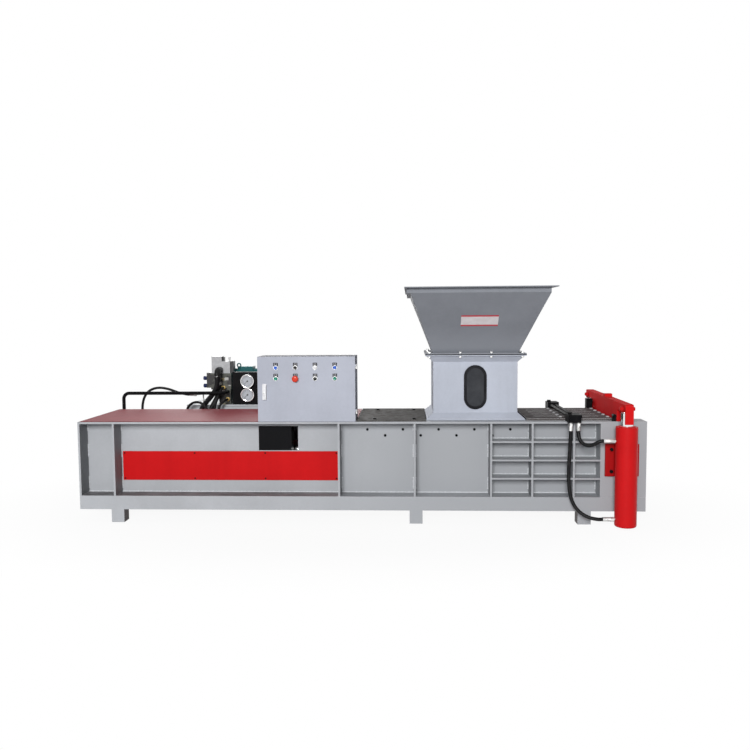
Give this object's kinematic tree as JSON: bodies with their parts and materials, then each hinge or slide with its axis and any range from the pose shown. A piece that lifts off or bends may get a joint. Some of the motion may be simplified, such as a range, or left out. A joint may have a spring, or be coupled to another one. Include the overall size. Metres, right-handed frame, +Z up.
{
  "type": "briquetting machine",
  "caption": "Horizontal hydraulic briquetting press with feed hopper, ram, lifting outlet gate, control cabinet and tank-mounted power unit.",
  "frame": {"origin": "middle of the machine box on the ground", "axes": "+X along the press towards the outlet gate, +Y towards the power unit behind, +Z up"},
  "size_m": [3.5, 1.571, 1.442],
  "materials": {
    "frame_paint": "semi-gloss grey enamel",
    "red_paint": "glossy red enamel",
    "deck_paint": "worn dark grey-brown enamel",
    "black_paint": "satin black enamel",
    "bare_steel": "machined steel",
    "dark_bolts": "blackened steel",
    "cylinder_paint": "grey primer",
    "chromed_rod": "hard chrome, polished",
    "bronze": "machined bronze",
    "chute_paint": "semi-gloss light grey enamel",
    "hopper_paint": "semi-gloss mid grey enamel",
    "black_rubber": "matt black rubber",
    "dark_glass": "smoked glass",
    "cabinet_paint": "powder-coated light grey",
    "white_plastic": "white plastic",
    "zinc": "zinc-plated steel",
    "blue_plastic": "blue plastic",
    "black_plastic": "black plastic",
    "green_plastic": "green plastic",
    "red_plastic": "red plastic",
    "switchgear": "grey plastic on zinc plate",
    "tank_paint": "grey enamel",
    "motor_paint": "teal enamel on cast iron",
    "pump_iron": "dark cast iron",
    "valve_metal": "machined block",
    "gauge_steel": "chromed case, white dial"
  },
  "bodies": {
    "frame": {"base_frame": "frame_paint", "side_walls": "frame_paint", "ribs": "frame_paint", "gate_guides": "frame_paint", "cylinder_cover": "red_paint", "deck_plate": "deck_paint", "slotted_plate": "deck_paint", "side_panels": "red_paint", "cable_box": "black_paint", "guide_bars": "bare_steel", "fasteners": "dark_bolts", "cylinder_mounts": "frame_paint", "main_cylinder": "cylinder_paint", "chute": "chute_paint", "window_gasket": "black_rubber", "window_pane": "dark_glass", "hopper": "hopper_paint", "cabinet": "cabinet_paint", "control_gear": "switchgear", "gate_cylinders": "red_paint", "gate_manifold": "black_paint", "pipe_fittings": "zinc", "hydraulic_pipes": "black_paint", "tank": "tank_paint", "motor": "motor_paint", "pump": "pump_iron", "valve_manifold": "valve_metal", "solenoid_valves": "valve_metal", "gauge_panel": "black_paint", "pressure_gauges": "gauge_steel", "gate_hose_long": "black_rubber", "gate_hose_short": "black_rubber", "return_hose": "black_rubber", "arc_hose": "black_rubber", "thick_hose_left": "black_rubber", "thick_hose_right": "black_rubber", "feed_hose_left": "black_rubber", "feed_hose_right": "black_rubber"},
    "ram": {"main_rod": "chromed_rod", "ram": "bare_steel", "ram_wear_pads": "bronze"},
    "gate": {"gate_plate": "bare_steel", "gate_beam": "red_paint", "gate_pins": "red_paint", "gate_rods": "chromed_rod"},
    "door": {"cabinet_door": "cabinet_paint", "door_fittings": "zinc"},
    "door_handle": {"door_handle": "white_plastic"},
    "motor_rotor": {"motor_rotor": "zinc"},
    "relief_knob_upper": {"relief_knob_upper": "blue_plastic"},
    "relief_knob_lower": {"relief_knob_lower": "blue_plastic"},
    "gauge_pointer_upper": {"gauge_pointer_upper": "black_plastic"},
    "gauge_pointer_lower": {"gauge_pointer_lower": "black_plastic"},
    "button_blue_left": {"button_blue_left": "blue_plastic"},
    "button_black": {"button_black": "black_plastic"},
    "button_blue_right": {"button_blue_right": "blue_plastic"},
    "button_green_left": {"button_green_left": "green_plastic"},
    "emergency_stop": {"emergency_stop": "red_plastic"},
    "selector_switch": {"selector_switch": "black_plastic"},
    "button_green_right": {"button_green_right": "green_plastic"}
  },
  "joints": [
    {"name": "ram_slide", "type": "slide", "parent": "frame", "child": "ram", "axis": [1, 0, 0], "range_m": [0, 0.7]},
    {"name": "gate_lift", "type": "slide", "parent": "frame", "child": "gate", "axis": [0, 0, 1], "range_m": [0, 0.41]},
    {"name": "door_hinge", "type": "hinge", "parent": "frame", "child": "door", "pos_m": [-0.004, -0.5105, 0.835], "axis": [0, 0, 1], "range_deg": [0, 110]},
    {"name": "handle_turn", "type": "hinge", "parent": "door", "child": "door_handle", "pos_m": [-0.567, -0.5195, 0.853], "axis": [0, 1, 0], "range_deg": [-90, 0]},
    {"name": "button_blue_left_press", "type": "slide", "parent": "door", "child": "button_blue_left", "axis": [0, 1, 0], "range_m": [0, 0.004], "stiffness_N_per_m": 400},
    {"name": "button_black_press", "type": "slide", "parent": "door", "child": "button_black", "axis": [0, 1, 0], "range_m": [0, 0.004], "stiffness_N_per_m": 400},
    {"name": "button_blue_right_press", "type": "slide", "parent": "door", "child": "button_blue_right", "axis": [0, 1, 0], "range_m": [0, 0.004], "stiffness_N_per_m": 400},
    {"name": "button_green_left_press", "type": "slide", "parent": "door", "child": "button_green_left", "axis": [0, 1, 0], "range_m": [0, 0.004], "stiffness_N_per_m": 400},
    {"name": "button_green_right_press", "type": "slide", "parent": "door", "child": "button_green_right", "axis": [0, 1, 0], "range_m": [0, 0.004], "stiffness_N_per_m": 400},
    {"name": "emergency_stop_press", "type": "slide", "parent": "door", "child": "emergency_stop", "axis": [0, 1, 0], "range_m": [0, 0.004]},
    {"name": "selector_turn", "type": "hinge", "parent": "door", "child": "selector_switch", "pos_m": [-0.255, -0.5195, 0.9], "axis": [0, 1, 0], "range_deg": [-45, 45]},
    {"name": "motor_spin", "type": "hinge", "parent": "frame", "child": "motor_rotor", "pos_m": [-1, 0.5305, 0.784], "axis": [1, 0, 0], "continuous": true},
    {"name": "relief_knob_upper_turn", "type": "hinge", "parent": "frame", "child": "relief_knob_upper", "pos_m": [-1.15, 0.3605, 0.839], "axis": [1, 0, 0], "range_deg": [-180, 180]},
    {"name": "relief_knob_lower_turn", "type": "hinge", "parent": "frame", "child": "relief_knob_lower", "pos_m": [-1.15, 0.3605, 0.784], "axis": [1, 0, 0], "range_deg": [-180, 180]},
    {"name": "gauge_pointer_upper_swing", "type": "hinge", "parent": "frame", "child": "gauge_pointer_upper", "pos_m": [-0.843, 0.2625, 0.822], "axis": [0, 1, 0], "range_deg": [0, 270], "stiffness_Nm_per_rad": 0.002},
    {"name": "gauge_pointer_lower_swing", "type": "hinge", "parent": "frame", "child": "gauge_pointer_lower", "pos_m": [-0.843, 0.2625, 0.724], "axis": [0, 1, 0], "range_deg": [0, 270], "stiffness_Nm_per_rad": 0.002}
  ]
}
